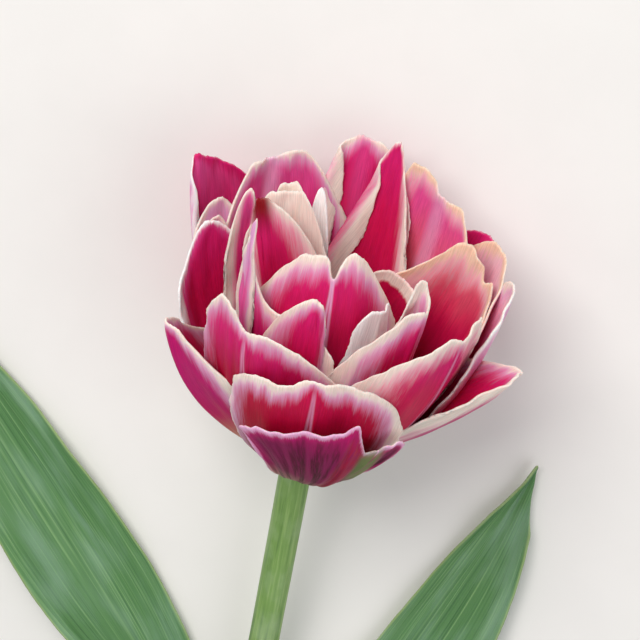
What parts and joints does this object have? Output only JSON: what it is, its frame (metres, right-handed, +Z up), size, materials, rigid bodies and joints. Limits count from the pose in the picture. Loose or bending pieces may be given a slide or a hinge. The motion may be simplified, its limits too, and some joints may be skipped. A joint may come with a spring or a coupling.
{
  "type": "double tulip cut flower",
  "caption": "Cut double tulip lying on its side: a full head of ruffled magenta and cream petals on a smooth green stem with long clasping leaves",
  "frame": {"origin": "centre of the object's box in plan, on the surface it lies on", "axes": "+Y from the cut end of the stem to the flower, along the longest side; +Z up; +X to the right of the flower as the picture shows it"},
  "size_m": [0.1804, 0.3864, 0.0789],
  "materials": {
    "petal": "magenta to crimson petal tissue with cream margins, satin",
    "stem": "pale green stem, smooth and satin",
    "leaf": "blue-green leaf with fine lengthwise veins, waxy",
    "pistil": "pale green ovary and stigma, matte",
    "stamen": "dark anthers on pale filaments, matte"
  },
  "bodies": {
    "root": {"leaf_left": "leaf", "leaf_low": "leaf", "leaf_right": "leaf", "petal_back_centre": "petal", "petal_back_left": "petal", "petal_back_right": "petal", "petal_back_tall": "petal", "petal_inner_centre": "petal", "petal_inner_cream": "petal", "petal_inner_cream_back": "petal", "petal_inner_curled_tip": "petal", "petal_inner_front_left": "petal", "petal_inner_front_right": "petal", "petal_inner_left_back": "petal", "petal_inner_left_tongue": "petal", "petal_inner_narrow": "petal", "petal_inner_pointed": "petal", "petal_inner_rolled_rim": "petal", "petal_inner_small": "petal", "petal_middle_back_right": "petal", "petal_middle_front": "petal", "petal_middle_front_left": "petal", "petal_middle_front_right": "petal", "petal_middle_left": "petal", "petal_middle_left_fold": "petal", "petal_middle_left_round": "petal", "petal_middle_right": "petal", "petal_outer_back_left": "petal", "petal_outer_back_low_left": "petal", "petal_outer_back_low_right": "petal", "petal_outer_back_right": "petal", "petal_outer_front": "petal", "petal_outer_left": "petal", "petal_outer_right": "petal", "petal_right_round": "petal", "pistil": "pistil", "receptacle": "stem", "stamen_1": "stamen", "stamen_2": "stamen", "stamen_3": "stamen", "stem": "stem"}
  },
  "joints": []
}
